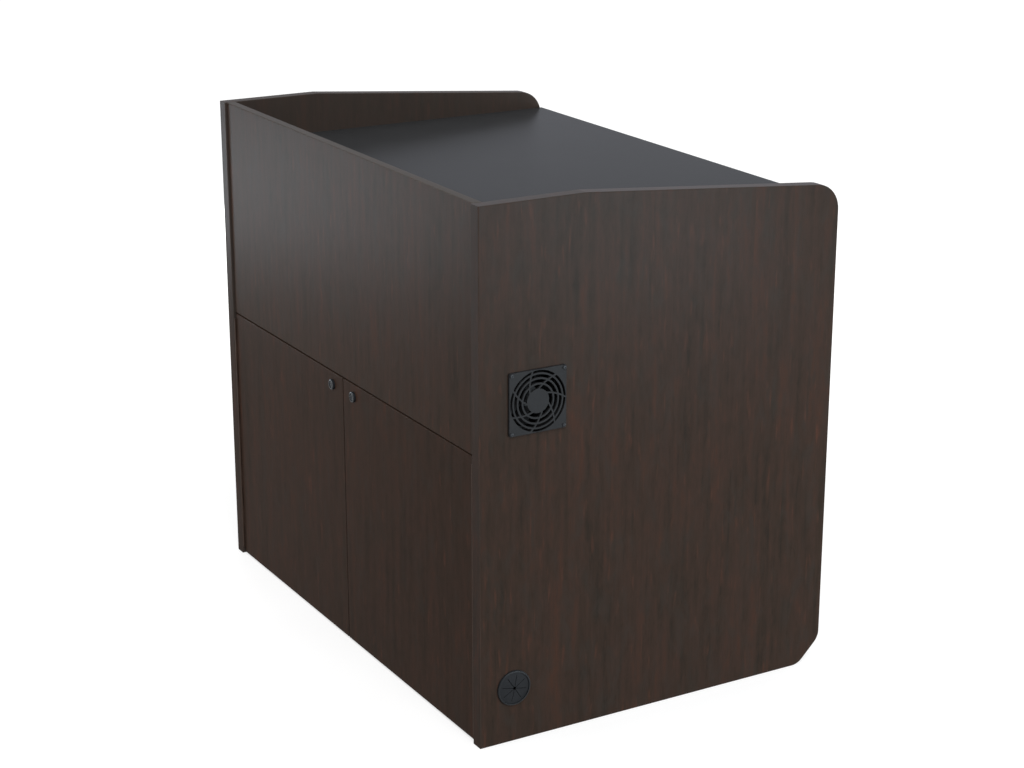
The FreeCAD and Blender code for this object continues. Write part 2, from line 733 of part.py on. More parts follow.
def blade_section(radius, chord, pitch_deg, camber, thick):
    """Cambered blade outline in the plane that stands across the radius."""
    pitch = math.radians(pitch_deg)
    along = Vector(0, math.cos(pitch), math.sin(pitch))
    normal = Vector(0, -math.sin(pitch), math.cos(pitch))
    centre = Vector(radius, 0, -FAN_T / 2 + BLADE_SHIFT) - normal * (camber / 2)
    start, end = centre - along * (chord / 2), centre + along * (chord / 2)
    lift = normal * (thick / 2)
    low = Part.Arc(start - lift, centre + normal * camber - lift, end - lift)
    high = Part.Arc(end + lift, centre + normal * camber + lift, start + lift)
    return Part.Wire([
        low.toShape(), Part.LineSegment(end - lift, end + lift).toShape(),
        high.toShape(), Part.LineSegment(start + lift, start - lift).toShape(),
    ])


def fan_rotor():
    """Motor cup on its shaft with twisted, cambered blades."""
    back = Vector(0, 0, -FAN_T)
    cup_back = back + Z * CUP_BACK_GAP
    cup_h = FAN_T - CUP_BACK_GAP - CUP_FACE_GAP
    cup = rod(ROTOR_HUB_R, cup_back, Z, cup_h)
    cup = cup.cut(rod(ROTOR_HUB_R - CUP_WALL, cup_back, Z, cup_h - CUP_FACE_T))
    shaft = rod(SHAFT_R, back + Z * SHAFT_START, Z, SHAFT_LENGTH)
    root = blade_section(ROTOR_HUB_R - BLADE_UNDERRUN, BLADE_ROOT_CHORD, BLADE_ROOT_PITCH_DEG,
                         BLADE_ROOT_CAMBER, BLADE_ROOT_T)
    tip = blade_section(BLADE_TIP_R + BLADE_OVERRUN, BLADE_TIP_CHORD, BLADE_TIP_PITCH_DEG,
                        BLADE_TIP_CAMBER, BLADE_TIP_T)
    reach = tube(BLADE_TIP_R, ROTOR_HUB_R - BLADE_SINK, back, Z, FAN_T)
    blade = Part.makeLoft([root, tip], True, True).common(reach)
    blades = [blade.rotated(ORIGIN, Z, i * 360.0 / FAN_BLADES) for i in range(FAN_BLADES)]
    return on_side(cup.fuse([shaft] + blades).removeSplitter(), INNER_X)


# Cable grommet in the right side board


def round_grommet(corners):
    """Turns a section of (radius, x, rounding) corners about the grommet's axis."""
    section = outline(corners, lambda r, x: Vector(x, GROMMET_Y + r, GROMMET_Z))
    return Part.Face(section).revolve(Vector(0, GROMMET_Y, GROMMET_Z), X, 360)


def grommet_ring():
    """Liner through the board with a rounded flange and a seat for the membrane."""
    tail = INNER_X + GROMMET_TAIL_GAP
    face = HALF_W + GROMMET_PROUD
    seat = HALF_W + MEMBRANE_SEAT
    well = MEMBRANE_R + HOLE_CLEAR
    return round_grommet([
        (GROMMET_BORE_R, tail, 0),
        (GROMMET_BODY_R, tail, 0),
        (GROMMET_BODY_R, HALF_W, 0),
        (GROMMET_FLANGE_R, HALF_W, 0),
        (GROMMET_FLANGE_R, face, GROMMET_ROUND),
        (well, face, GROMMET_LIP_R),
        (well, seat, 0),
        (GROMMET_BORE_R, seat, 0),
    ])


def grommet_membrane():
    """Domed rubber disc slit into flaps that bend aside for cables."""
    centre = Vector(HALF_W + MEMBRANE_SEAT, GROMMET_Y, GROMMET_Z)
    dome_r = (MEMBRANE_R ** 2 + MEMBRANE_DOME ** 2) / (2 * MEMBRANE_DOME)
    ball_x = centre.x + MEMBRANE_DOME - dome_r
    ball = Vector(ball_x, centre.y, centre.z)
    shell = Part.makeSphere(dome_r + MEMBRANE_T, ball).cut(Part.makeSphere(dome_r, ball))
    disc = shell.common(rod(MEMBRANE_R, centre, X, MEMBRANE_DOME + MEMBRANE_T))
    h = SLIT_W / 2
    slit = block(centre.x - CUT_OVER, centre.x + MEMBRANE_DOME + MEMBRANE_T + CUT_OVER,
                 centre.y, centre.y + SLIT_END_R, centre.z - h, centre.z + h)
    turn = 360.0 / SLIT_COUNT
    slits = [slit.rotated(centre, X, i * turn + SLIT_TURN_DEG) for i in range(SLIT_COUNT)]
    hole = bore(CABLE_HOLE_R, centre, X, MEMBRANE_DOME + MEMBRANE_T)
    return disc.cut(slits + [hole])


# Keyboard tray on slides under the work surface


def keyboard_tray():
    board = block(-TRAY_W / 2, TRAY_W / 2, TRAY_BACK, TRAY_FRONT, TRAY_Z, TRAY_Z + TRAY_T)
    return eased(board, long_edges(board))


def tray_runners():
    """Inner slide members on the tray's edges."""
    front = TRAY_BACK + RUNNER_D
    h = TONGUE_H / 2
    web = block(TRAY_W / 2, TONGUE_X, TRAY_BACK, front, TRAY_Z, TRAY_Z + TRAY_T)
    tongue = block(TONGUE_X, TONGUE_X + TONGUE_W, TRAY_BACK, front, TONGUE_Z - h, TONGUE_Z + h)
    right = web.fuse(tongue).removeSplitter()
    return [mirrored(right), right]


def tray_channels():
    """Outer slide members, each one folded with the hanger that carries it."""
    lip = TONGUE_X + CHANNEL_LIP_GAP
    back = TONGUE_X + TONGUE_W + SLIDE_PLAY
    inside = TONGUE_H / 2 + SLIDE_PLAY
    outside = inside + CHANNEL_T
    hanger = back + HANGER_FLANGE
    corners = [
        (lip, TONGUE_Z - inside, 0),
        (lip, TONGUE_Z - outside, 0),
        (back + CHANNEL_T, TONGUE_Z - outside, 0),
        (back + CHANNEL_T, WORK_UNDER_Z - CHANNEL_T, 0),
        (hanger, WORK_UNDER_Z - CHANNEL_T, 0),
        (hanger, WORK_UNDER_Z, 0),
        (back, WORK_UNDER_Z, 0),
        (back, TONGUE_Z + outside, 0),
        (lip, TONGUE_Z + outside, 0),
        (lip, TONGUE_Z + inside, 0),
        (back, TONGUE_Z + inside, 0),
        (back, TONGUE_Z - inside, 0),
    ]
    right = prism(corners, lambda x, z: Vector(x, TRAY_BACK, z), Y * RUNNER_D)
    return [mirrored(right), right]


# Levelling feet


def foot_brackets():
    """Angle brackets with a threaded boss, on the side boards below the floor board."""
    wall = INNER_X
    flange_top = FOOT_FLANGE_Z + FOOT_BRACKET_T
    brackets = []
    for y in FOOT_YS:
        y0, y1 = y - FOOT_BRACKET_W / 2, y + FOOT_BRACKET_W / 2
        plate = block(wall - FOOT_BRACKET_T, wall, y0, y1, FOOT_FLANGE_Z, FLOOR_BOARD_Z)
        flange = block(wall - FOOT_FLANGE_W, wall, y0, y1, FOOT_FLANGE_Z, flange_top)
        centre = Vector(wall - FOOT_FROM_SIDE, y, FOOT_FLANGE_Z)
        boss = rod(FOOT_STUD_R + FOOT_BOSS_WALL, centre, Z, FOOT_BOSS_H)
        tapped = bore(FOOT_STUD_R + RUN_CLEAR, centre, Z, FOOT_BOSS_H)
        right = plate.fuse([flange, boss]).removeSplitter().cut(tapped)
        brackets += [mirrored(right), right]
    return brackets


def levelling_foot(side, y):
    """Tapered pad with a hexagon for the spanner and a threaded stud."""
    centre = Vector(side * (INNER_X - FOOT_FROM_SIDE), y, 0)
    pad = Part.makeCone(FOOT_PAD_R, FOOT_PAD_R - FOOT_PAD_TAPER, FOOT_PAD_T, centre, Z)
    corners = hexagon(FOOT_HEX_AF, centre.x, centre.y)
    spanner_flats = prism(corners, lambda u, v: Vector(u, v, FOOT_PAD_T), Z * FOOT_HEX_H)
    stud = rod(FOOT_STUD_R, centre + Z * FOOT_PAD_T, Z, FOOT_STUD_TOP - FOOT_PAD_T)
    return pad.fuse([spanner_flats, stud]).removeSplitter()


def all_pieces():
    """Every node's name with its solid, or with its list of solids."""
    front_y, rear_y = FOOT_YS
    pieces = {
        "side_panel_left": left_side_panel(),
        "side_panel_right": right_side_panel(),
        "upper_front_panel": upper_front_panel(),
        "upper_panel_cleats": upper_panel_cleats(),
        "worksurface": worksurface(),
        "worksurface_edge_band": worksurface_edge_band(),
        "worksurface_brackets": worksurface_brackets(),
        "sub_top": sub_top(),
        "rear_rail": rear_rail(),
        "centre_divider": centre_divider(),
        "bottom_panel": bottom_panel(),
        "toe_kick": toe_kick(),
        "adjustable_shelf": adjustable_shelf(),
        "shelf_pins": shelf_pins(),
        "rack_rail_inner": rack_rail(-1),
        "rack_rail_outer": rack_rail(1),
        "front_strike_bar": strike_bar(-INNER_X, INNER_X, FRONT_BACK_Y, 1, FRONT_DOOR_TOP,
                                       FRONT_STRIKE_TOP),
        "rear_strike_bar": strike_bar(DIVIDER_X, INNER_X, REAR_BACK_Y, -1, REAR_DOOR_TOP,
                                      SUB_TOP_Z),
        "fan_guard": fan_guard(),
        "fan_guard_screws": fan_guard_screws(),
        "fan_frame": fan_frame(),
        "fan_screws": fan_screws(),
        "fan_rotor": fan_rotor(),
        "grommet_ring": grommet_ring(),
        "grommet_membrane": grommet_membrane(),
        "keyboard_tray": keyboard_tray(),
        "tray_runners": tray_runners(),
        "tray_channels": tray_channels(),
        "foot_brackets": foot_brackets(),
        "foot_front_left": levelling_foot(-1, front_y),
        "foot_front_right": levelling_foot(1, front_y),
        "foot_rear_left": levelling_foot(-1, rear_y),
        "foot_rear_right": levelling_foot(1, rear_y),
    }
    pieces.update(doors())
    return pieces


os.makedirs("parts", exist_ok=True)
for node, shape in all_pieces().items():
    if isinstance(shape, list):
        shape = Part.makeCompound(shape)
    shape.exportStep(os.path.join("parts", node + ".step"))
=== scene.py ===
"""Multimedia lectern: camera, studio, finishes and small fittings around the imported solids.

Metres, +Z up, floor at z = 0. -Y is the audience side and +X the side with the fan guard.
"""

import math
from collections import namedtuple

import bmesh
import bpy
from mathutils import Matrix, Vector


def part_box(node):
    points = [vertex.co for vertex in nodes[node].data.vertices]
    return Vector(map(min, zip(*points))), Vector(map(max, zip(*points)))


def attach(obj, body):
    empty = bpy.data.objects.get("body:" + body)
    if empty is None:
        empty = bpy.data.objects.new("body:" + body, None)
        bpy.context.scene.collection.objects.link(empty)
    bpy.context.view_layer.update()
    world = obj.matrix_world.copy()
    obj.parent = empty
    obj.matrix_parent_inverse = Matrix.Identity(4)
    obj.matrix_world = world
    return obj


MM = 0.001
WHITE = (1, 1, 1, 1)
BLACK = (0, 0, 0, 1)
SIDES = (-1, 1)
DOORS = ("left", "right", "rack")

# Camera
CAMERA_AT = (3.76862, -2.17913, 1.90795)
CAMERA_AZIMUTH_DEG = 59.924
CAMERA_ELEVATION_DEG = 18.001
CAMERA_LENS_MM = 76.715
CAMERA_SENSOR_MM = 36.0

# Floor, with a patch under the cabinet that doesn't glow: a patch of painted shade under the cabinet
FLOOR_R = 12.0
FLOOR_SIDES = 96
FLOOR_Z = -0.0006
FLOOR_DIFFUSE = 0.40
FLOOR_MOTTLE = 0.01
FLOOR_ROUGHNESS = 0.9
FLOOR_GLOW = 0.66
UNDER_HALF_X = 0.55
UNDER_HALF_Y = 0.37
UNDER_RIM = 0.05

# Sky and sun
AMBIENT = 0.70
BACKGROUND = 1.0
COOL_SKY = (0.95, 0.985, 1.10, 1.0)
SUN_AT = (1.6, -0.3, 2.2)
SUN_STRENGTH = 1.4
SUN_ANGLE_DEG = 25.0

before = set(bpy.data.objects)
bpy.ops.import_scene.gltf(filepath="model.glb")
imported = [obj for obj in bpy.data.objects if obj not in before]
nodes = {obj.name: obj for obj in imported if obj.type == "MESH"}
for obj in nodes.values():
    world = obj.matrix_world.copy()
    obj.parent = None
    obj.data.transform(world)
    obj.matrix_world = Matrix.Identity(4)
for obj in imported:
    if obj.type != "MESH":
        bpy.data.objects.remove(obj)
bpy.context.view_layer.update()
scene = bpy.context.scene


def srgb(red, green, blue):
    """Linear colour with alpha from 0 to 255 display values."""
    def linear(value):
        c = value / 255
        return c / 12.92 if c <= 0.04045 else ((c + 0.055) / 1.055) ** 2.4

    return (linear(red), linear(green), linear(blue), 1.0)


# Node trees

# Most values of a noise lie between these
NOISE_LOW, NOISE_HIGH = 0.3, 0.7
# Places of a Mix node's sockets when it mixes colours
MIX_FACTOR, MIX_A, MIX_B = 0, 6, 7
MIX_RESULT = 2


class Tree:
    """A shader node tree under construction."""

    def __init__(self, tree):
        self.tree = tree

    def node(self, kind, settings=None, **inputs):
        made = self.tree.nodes.new("ShaderNode" + kind)
        for key, value in (settings or {}).items():
            setattr(made, key, value)
        for key, value in inputs.items():
            self.feed(made.inputs[key.replace("_", " ")], value)
        return made

    def feed(self, socket, value):
        if isinstance(value, bpy.types.NodeSocket):
            self.tree.links.new(value, socket)
        else:
            socket.default_value = value

    def math(self, operation, a, b=0.0, clamp=False):
        made = self.node("Math", {"operation": operation, "use_clamp": clamp})
        self.feed(made.inputs[0], a)
        self.feed(made.inputs[1], b)
        return made.outputs[0]

    def blend(self, *pairs):
        """Sum of values, each times its share."""
        total = 0.0
        for value, share in pairs:
            total = self.math("ADD", self.math("MULTIPLY", value, share), total)
        return total

    def mix(self, factor, a, b):
        made = self.node("Mix", {"data_type": "RGBA"})
        self.feed(made.inputs[MIX_FACTOR], factor)
        self.feed(made.inputs[MIX_A], a)
        self.feed(made.inputs[MIX_B], b)
        return made.outputs[MIX_RESULT]

    def ramp(self, factor, stops):
        made = self.node("ValToRGB", Fac=factor)
        elements = made.color_ramp.elements
        while len(elements) < len(stops):
            elements.new(1.0)
        for element, (position, colour) in zip(elements, stops):
            element.position = position
            element.color = colour
        return made.outputs["Color"]

    def span(self, value, low, high, to_low=0.0, to_high=1.0):
        made = self.node("MapRange", {"clamp": True}, Value=value)
        for key, number in (("From Min", low), ("From Max", high), ("To Min", to_low), ("To Max", to_high)):
            made.inputs[key].default_value = number
        return made.outputs["Result"]

    def tinted(self, colour, value, low, high, share, tint):
        """Colour that takes up to a share of tint while value goes from low to high."""
        return self.mix(self.span(value, low, high, 0.0, share), colour, tint)

    def axes(self, vector):
        return self.node("SeparateXYZ", Vector=vector).outputs

    def mapped(self, vector, scale=(1, 1, 1), location=(0, 0, 0), rotation=(0, 0, 0)):
        made = self.node("Mapping", Vector=vector, Scale=scale, Location=location, Rotation=rotation)
        return made.outputs["Vector"]

    def noise(self, vector, scale=1.0, detail=2.0, roughness=0.5, distortion=0.0):
        made = self.node("TexNoise", Vector=vector, Scale=scale, Detail=detail, Roughness=roughness,
                         Distortion=distortion)
        return made.outputs["Fac"]

    def around(self, noise, middle, give):
        """Number that follows a noise, by up to give on both sides of middle."""
        return self.span(noise, NOISE_LOW, NOISE_HIGH, middle - give, middle + give)

    def bump(self, height, distance, strength):
        return self.node("Bump", Height=height, Distance=distance, Strength=strength).outputs["Normal"]


class Finish(Tree):
    """A material built on one Principled shader."""

    def __init__(self, name):
        self.material = bpy.data.materials.new(name)
        self.material.use_nodes = True
        super().__init__(self.material.node_tree)
        self.shader = self.tree.nodes["Principled BSDF"]
        coords = self.node("TexCoord")
        self.place = coords.outputs["Object"]
        self.facing = coords.outputs["Normal"]

    def set(self, **values):
        for key, value in values.items():
            self.feed(self.shader.inputs[key.replace("_", " ")], value)


# Camera, floor and light


def add_camera():
    data = bpy.data.cameras.new("camera")
    data.lens = CAMERA_LENS_MM
    data.sensor_width = CAMERA_SENSOR_MM
    data.sensor_fit = "HORIZONTAL"
    camera = bpy.data.objects.new("camera", data)
    scene.collection.objects.link(camera)
    camera.location = CAMERA_AT
    tilt = math.radians(90 - CAMERA_ELEVATION_DEG)
    camera.rotation_euler = (tilt, 0, math.radians(CAMERA_AZIMUTH_DEG))
    scene.camera = camera


def seen_directly(tree):
    """1 where a camera, glossy or transmission ray meets the surface, 0 for diffuse light."""
    path = tree.node("LightPath").outputs
    seen = tree.math("ADD", path["Is Camera Ray"], path["Is Glossy Ray"], clamp=True)
    return tree.math("ADD", seen, path["Is Transmission Ray"], clamp=True)


def add_world():
    """White sky, a little cooler where a surface mirrors it and dimmer where it only lights."""
    world = bpy.data.worlds.new("studio")
    world.use_nodes = True
    scene.world = world
    tree = Tree(world.node_tree)
    background = world.node_tree.nodes["Background"]
    mirrored = tree.node("LightPath").outputs["Is Glossy Ray"]
    tree.feed(background.inputs["Color"], tree.mix(mirrored, WHITE, COOL_SKY))
    strength = tree.span(seen_directly(tree), 0, 1, AMBIENT, BACKGROUND)
    tree.feed(background.inputs["Strength"], strength)


def floor_paint():
    """Pale paint that glows for direct view, except in a patch of painted shade under the cabinet."""
    paint = Finish("floor_paint")
    mottle = paint.noise(paint.place, scale=3.0, detail=3.0)
    shade = paint.around(mottle, FLOOR_DIFFUSE, FLOOR_MOTTLE)
    place = paint.axes(paint.place)
    # Glow left out under the cabinet and faded over a rim: painted shade under the cabinet
    across = paint.span(paint.math("ABSOLUTE", place["X"]), UNDER_HALF_X - UNDER_RIM, UNDER_HALF_X)
    along = paint.span(paint.math("ABSOLUTE", place["Y"]), UNDER_HALF_Y - UNDER_RIM, UNDER_HALF_Y)
    glow = paint.math("MULTIPLY", paint.math("MAXIMUM", across, along), FLOOR_GLOW)
    paint.set(Base_Color=paint.ramp(shade, [(0, BLACK), (1, WHITE)]), Roughness=FLOOR_ROUGHNESS,
              Specular_IOR_Level=0.0, Emission_Color=WHITE,
              Emission_Strength=paint.math("MULTIPLY", seen_directly(paint), glow))
    return paint.material


def add_floor():
    mesh = bpy.data.meshes.new("floor")
    shape = bmesh.new()
    bmesh.ops.create_circle(shape, cap_ends=True, segments=FLOOR_SIDES, radius=FLOOR_R)
    shape.to_mesh(mesh)
    shape.free()
    floor = bpy.data.objects.new("floor", mesh)
    scene.collection.objects.link(floor)
    floor.location.z = FLOOR_Z
    mesh.materials.append(floor_paint())


def add_light(name, kind, at, target, energy):
    data = bpy.data.lights.new(name, kind)
    data.energy = energy
    lamp = bpy.data.objects.new(name, data)
    scene.collection.objects.link(lamp)
    lamp.location = at
    lamp.rotation_euler = (Vector(target) - Vector(at)).to_track_quat("-Z", "Y").to_euler()
    lamp.visible_camera = False
    return lamp


def add_panel(name, at, target, size, power, colour=(1.0, 1.0, 1.0), diffuse=True, glossy=True):
    lamp = add_light(name, "AREA", at, target, power)
    lamp.data.color = colour
    lamp.data.shape = "RECTANGLE"
    lamp.data.size, lamp.data.size_y = size
    lamp.visible_diffuse = diffuse
    lamp.visible_glossy = glossy


def add_sun():
    lamp = add_light("sun", "SUN", SUN_AT, (0, 0, 0), SUN_STRENGTH)
    lamp.data.angle = math.radians(SUN_ANGLE_DEG)


def add_panels():
    """Fills that only light the faces, sheens that the faces only mirror, and one panel that does both."""
    add_panel("left_front_sheen", at=(-2.50, -1.62, 0.35), target=(-1.39, 0.04, 0.47), size=(1.75, 0.60),
              power=45, colour=(0.81, 0.915, 1.0), diffuse=False)
    add_panel("front_fill", at=(-0.6, -4.0, 1.0), target=(0, 0, 0.5), size=(2.0, 1.5),
              power=51, glossy=False)
    add_panel("rear_fill", at=(-0.9, 3.8, 0.5), target=(0, 0, 0.5), size=(1.8, 0.7),
              power=60, glossy=False)
    add_panel("left_fill", at=(-3.8, 0.9, 0.5), target=(-0.57, 0, 0.5), size=(1.6, 0.7),
              power=50, glossy=False)
    right_rear = {"at": (3.1, 1.4, 0.42), "target": (0.57, 0, 0.7), "size": (1.2, 0.8)}
    add_panel("right_rear_panel", **right_rear, power=45, colour=(0.80, 0.92, 1.0))
    add_panel("right_rear_sheen", **right_rear, power=42, colour=(0.74, 0.90, 1.0), diffuse=False)


# Wood

# Turn of the print by the axis that its grain follows, and the way along which a board's shift moves it
GRAIN_TURN = {"X": (0, math.pi / 2, 0), "Z": (0, 0, 0)}
PRINT_STEP = (1.0, 0.7, 1.3)
# Scale of the print across the grain
SIDE_PRINT = 80
FRONT_PRINT = 62
# Noise layers: scale across the grain, scale along it, detail, roughness, distortion.
# A broad layer's first number is a share of the board's print scale.
BROAD_LAYERS = {
    "streak": (1.0, 5, 4.0, 0.55, 0.3),
    "band": (0.35, 3, 4.0, 0.55, 0.5),
    "flame": (0.9, 26, 3.0, 0.6, 0.5),
    "fleck": (1.2, 14, 2.0, 0.5, 0.2),
}
FINE_LAYERS = {
    "fibre": (620, 22, 3.0, 0.6, 0.0),
    "patch": (38, 13, 4.0, 0.62, 0.6),
    "pore": (1500, 55, 1.0, 0.5, 0.0),
}
TONE_SHARES = {"streak": 0.45, "band": 0.25, "flame": 0.30}
TONE_COLOURS = [
    (0.35, srgb(43, 37, 32)),
    (0.46, srgb(51, 41, 35)),
    (0.54, srgb(55, 43, 37)),
    (0.65, srgb(63, 44, 36)),
]
# Tints: value where they start, value where they are full, largest share, colour
PORE_START, PORE_FULL = 0.62, 0.72
PATCH_TINT = (0.50, 0.68, 0.45, srgb(51, 47, 43))
FLECK_TINT = (0.62, 0.76, 0.36, srgb(85, 54, 43))
PORE_TINT = (PORE_START, PORE_FULL, 0.4, srgb(36, 28, 24))
# Painted sheen on the rounded upright corners, where the normal lies between X and Y
CORNER_SHEEN_TINT = (0.1, 0.4, 0.15, srgb(100, 92, 88))
# Roughness of the print, from bare fibre to fibre with a pore, around the board's own
FIBRE_BARE, FIBRE_PORED = 0.3, 1.4
SMOOTHER, ROUGHER = 0.02, 0.03
FIBRE_RELIEF = 0.03 * MM
FIBRE_BUMP = 0.25
# Specular level and roughness
SIDE_GLOSS = (0.02, 0.29)
LEFT_GLOSS = (0.0075, 0.32)
FRONT_GLOSS = (0.0065, 0.335)
# Share and colour of a tint all over: painted shade that darkens the doors against the upper front panel
DOOR_SHADE = (0.22, srgb(34, 14, 2))
# Pale painted sheen on the inner face of the left board, above the work surface and ahead of the front
# panels' backs
INNER_SHEEN_SHARE = 0.3
INNER_SHEEN_TINT = srgb(84, 80, 77)
INNER_SHEEN_RIM = 10 * MM
INNER_SHEEN_TURN = (0.6, 0.9)
# Fan bore in the right board, black: painted shade on the bore's wall behind the fan guard
BORE_R = 59.2 * MM
BORE_RIM = 0.2 * MM
BORE_SHADE = srgb(9, 9, 10)
# Edge bands: axis they face, either way unless it has a sign, and the share of it where they start. Their
# tints are painted light: painted shade on edges that face Y, painted highlights on edges that face Z.
EdgeBandLight = namedtuple("EdgeBandLight", "axis start rough share tint")
BAND_TURN = 0.3
SIDE_BANDS_LIGHT = (
    EdgeBandLight("Y", start=0.6, rough=0.51, share=0.3, tint=srgb(24, 12, 6)),
    EdgeBandLight("Z", start=0.2, rough=0.37, share=0.2, tint=srgb(95, 95, 95)),
)
LEFT_BANDS_LIGHT = (
    EdgeBandLight("Y", start=0.6, rough=0.0, share=0.3, tint=srgb(24, 12, 6)),
    EdgeBandLight("Z", start=0.6, rough=0.37, share=0.4, tint=srgb(88, 86, 84)),
)
FRONT_BANDS_LIGHT = (EdgeBandLight("+Z", start=0.1, rough=0.37, share=0.43, tint=srgb(95, 94, 91)),)
DOOR_BANDS_LIGHT = (EdgeBandLight("Z", start=0.6, rough=0.45, share=0.35, tint=srgb(96, 80, 68)),)


def wood_layers(paint, grain, shift, scale):
    """Noise layers of one board's print, by name."""
    moved = [shift * step for step in PRINT_STEP]
    board = paint.mapped(paint.place, location=moved, rotation=GRAIN_TURN[grain])
    sizes = {name: (scale * share, *rest) for name, (share, *rest) in BROAD_LAYERS.items()}
    sizes.update(FINE_LAYERS)
    return {
        name: paint.noise(paint.mapped(board, (across, across, along)), 1.0, *look)
        for name, (across, along, *look) in sizes.items()
    }


def wood_print(paint, layers):
    """Colour of the print: streaks, with grey patches, warm flecks and dark pores over them."""
    tone = paint.blend(*((layers[name], share) for name, share in TONE_SHARES.items()))
    colour = paint.ramp(tone, TONE_COLOURS)
    colour = paint.tinted(colour, layers["patch"], *PATCH_TINT)
    colour = paint.tinted(colour, layers["fleck"], *FLECK_TINT)
    return paint.tinted(colour, layers["pore"], *PORE_TINT)


def painted_inner_sheen(paint, colour, facing):
    """Colour with a pale painted sheen on the left board's inner face where it lies open."""
    place = paint.axes(paint.place)
    work_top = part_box("worksurface")[1][2]
    panel_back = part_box("upper_front_panel")[1][1]
    above = paint.span(place["Z"], work_top - INNER_SHEEN_RIM, work_top)
    ahead = paint.span(place["Y"], panel_back, panel_back + INNER_SHEEN_RIM, 1.0, 0.0)
    inner = paint.math("MULTIPLY", paint.span(facing["X"], *INNER_SHEEN_TURN), paint.math("MAXIMUM", above, ahead))
    return paint.mix(paint.math("MULTIPLY", inner, INNER_SHEEN_SHARE), colour, INNER_SHEEN_TINT)


def painted_bore_shade(paint, colour):
    """Colour with painted shade, black, on the bore behind the fan guard."""
    low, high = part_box("fan_guard")
    apart = paint.node("VectorMath", {"operation": "DISTANCE"})
    paint.feed(apart.inputs[0], paint.mapped(paint.place, (0, 1, 1)))
    paint.feed(apart.inputs[1], (0, (low[1] + high[1]) / 2, (low[2] + high[2]) / 2))
    inside = paint.span(apart.outputs["Value"], BORE_R, BORE_R + BORE_RIM, 1.0, 0.0)
    return paint.mix(inside, colour, BORE_SHADE)


def wood(name, grain, scale, gloss, bands=(), cast=None, shift=0.0, inner_sheen=False, bore_shade=False):
    """Dark wood print on laminate, with edge bands that carry painted shade and painted highlights, and a
    painted sheen along upright corners.
    """
    level, smooth = gloss
    paint = Finish(name)
    layers = wood_layers(paint, grain, shift, scale)
    facing = paint.axes(paint.facing)
    colour = wood_print(paint, layers)
    # Painted shade all over the board, where one is given
    if cast:
        share, tint = cast
        colour = paint.mix(share, colour, tint)
    # Pale painted sheen on the left board's inner face
    if inner_sheen:
        colour = painted_inner_sheen(paint, colour, facing)
    # Painted shade, black, on the bore behind the fan guard
    if bore_shade:
        colour = painted_bore_shade(paint, colour)
    fibre = layers["fibre"]
    pores = paint.span(layers["pore"], PORE_START, PORE_FULL)
    coarse = paint.math("ADD", fibre, pores)
    rough = paint.span(coarse, FIBRE_BARE, FIBRE_PORED, smooth - SMOOTHER, smooth + ROUGHER)
    for band in bands:
        toward = facing[band.axis[-1]]
        if len(band.axis) == 1:
            toward = paint.math("ABSOLUTE", toward)
        full = band.start + BAND_TURN
        # Painted shade or painted highlight on edges by the way they face, with a duller finish there
        colour = paint.tinted(colour, toward, band.start, full, band.share, band.tint)
        rough = paint.math("MAXIMUM", rough, paint.span(toward, band.start, full, 0.0, band.rough))
    # Painted sheen along the rounded upright corners
    corner = paint.math("ABSOLUTE", paint.math("MULTIPLY", facing["X"], facing["Y"]))
    colour = paint.tinted(colour, corner, *CORNER_SHEEN_TINT)
    relief = paint.math("SUBTRACT", fibre, pores)
    paint.set(Base_Color=colour, Roughness=rough, Specular_IOR_Level=level,
              Normal=paint.bump(relief, FIBRE_RELIEF, FIBRE_BUMP))
    return paint.material


# Other finishes

# How far roughness strays from its middle
MOULDED_GIVE = 0.05
METAL_GIVE = 0.06
# Where a metal's darker and lighter tones lie in its noise
TARNISH_LOW, TARNISH_HIGH = 0.32, 0.68


def charcoal_laminate():
    """Work surface sheet: fine suede texture with a faint speckle."""
    paint = Finish("charcoal_laminate")
    speck = paint.noise(paint.place, scale=1400.0, detail=2.0, roughness=0.6)
    cloud = paint.noise(paint.place, scale=9.0, detail=3.0)
    tone = paint.blend((speck, 0.85), (cloud, 0.15))
    colour = paint.ramp(tone, [(NOISE_LOW, srgb(44, 44, 45)), (NOISE_HIGH, srgb(55, 56, 57))])
    rough = paint.span(cloud, NOISE_LOW, NOISE_HIGH, to_low=0.25, to_high=0.27)
    paint.set(Base_Color=colour, Roughness=rough, Specular_IOR_Level=0.0083,
              Normal=paint.bump(speck, distance=0.02 * MM, strength=0.2))
    return paint.material


def moulded(name, dark, light, rough, level, grain_scale=900.0, relief=0.06 * MM):
    """Moulded plastic, rubber or powder coat: a fine cast grain and slight mottling."""
    paint = Finish(name)
    grain = paint.noise(paint.place, grain_scale, detail=3.0, roughness=0.55)
    cloud = paint.noise(paint.place, scale=35.0, detail=2.0)
    tone = paint.blend((grain, 0.5), (cloud, 0.5))
    paint.set(Base_Color=paint.ramp(tone, [(NOISE_LOW, dark), (NOISE_HIGH, light)]),
              Roughness=paint.around(grain, rough, MOULDED_GIVE),
              Specular_IOR_Level=level, Normal=paint.bump(grain, relief, strength=0.4))
    return paint.material


def metal(name, dark, light, rough, lay, lay_scale):
    """Bare or plated metal with a directional finish and slight tarnish."""
    paint = Finish(name)
    brushed = paint.noise(paint.mapped(paint.place, lay), lay_scale, detail=4.0, roughness=0.6)
    cloud = paint.noise(paint.place, scale=40.0, detail=3.0)
    tone = paint.blend((brushed, 0.5), (cloud, 0.5))
    paint.set(Base_Color=paint.ramp(tone, [(TARNISH_LOW, dark), (TARNISH_HIGH, light)]), Metallic=1.0,
              Roughness=paint.around(brushed, rough, METAL_GIVE),
              Normal=paint.bump(brushed, distance=0.03 * MM, strength=0.3))
    return paint.material


def dress(material, *names):
    for name in names:
        data = nodes[name].data
        data.materials.clear()
        data.materials.append(material)


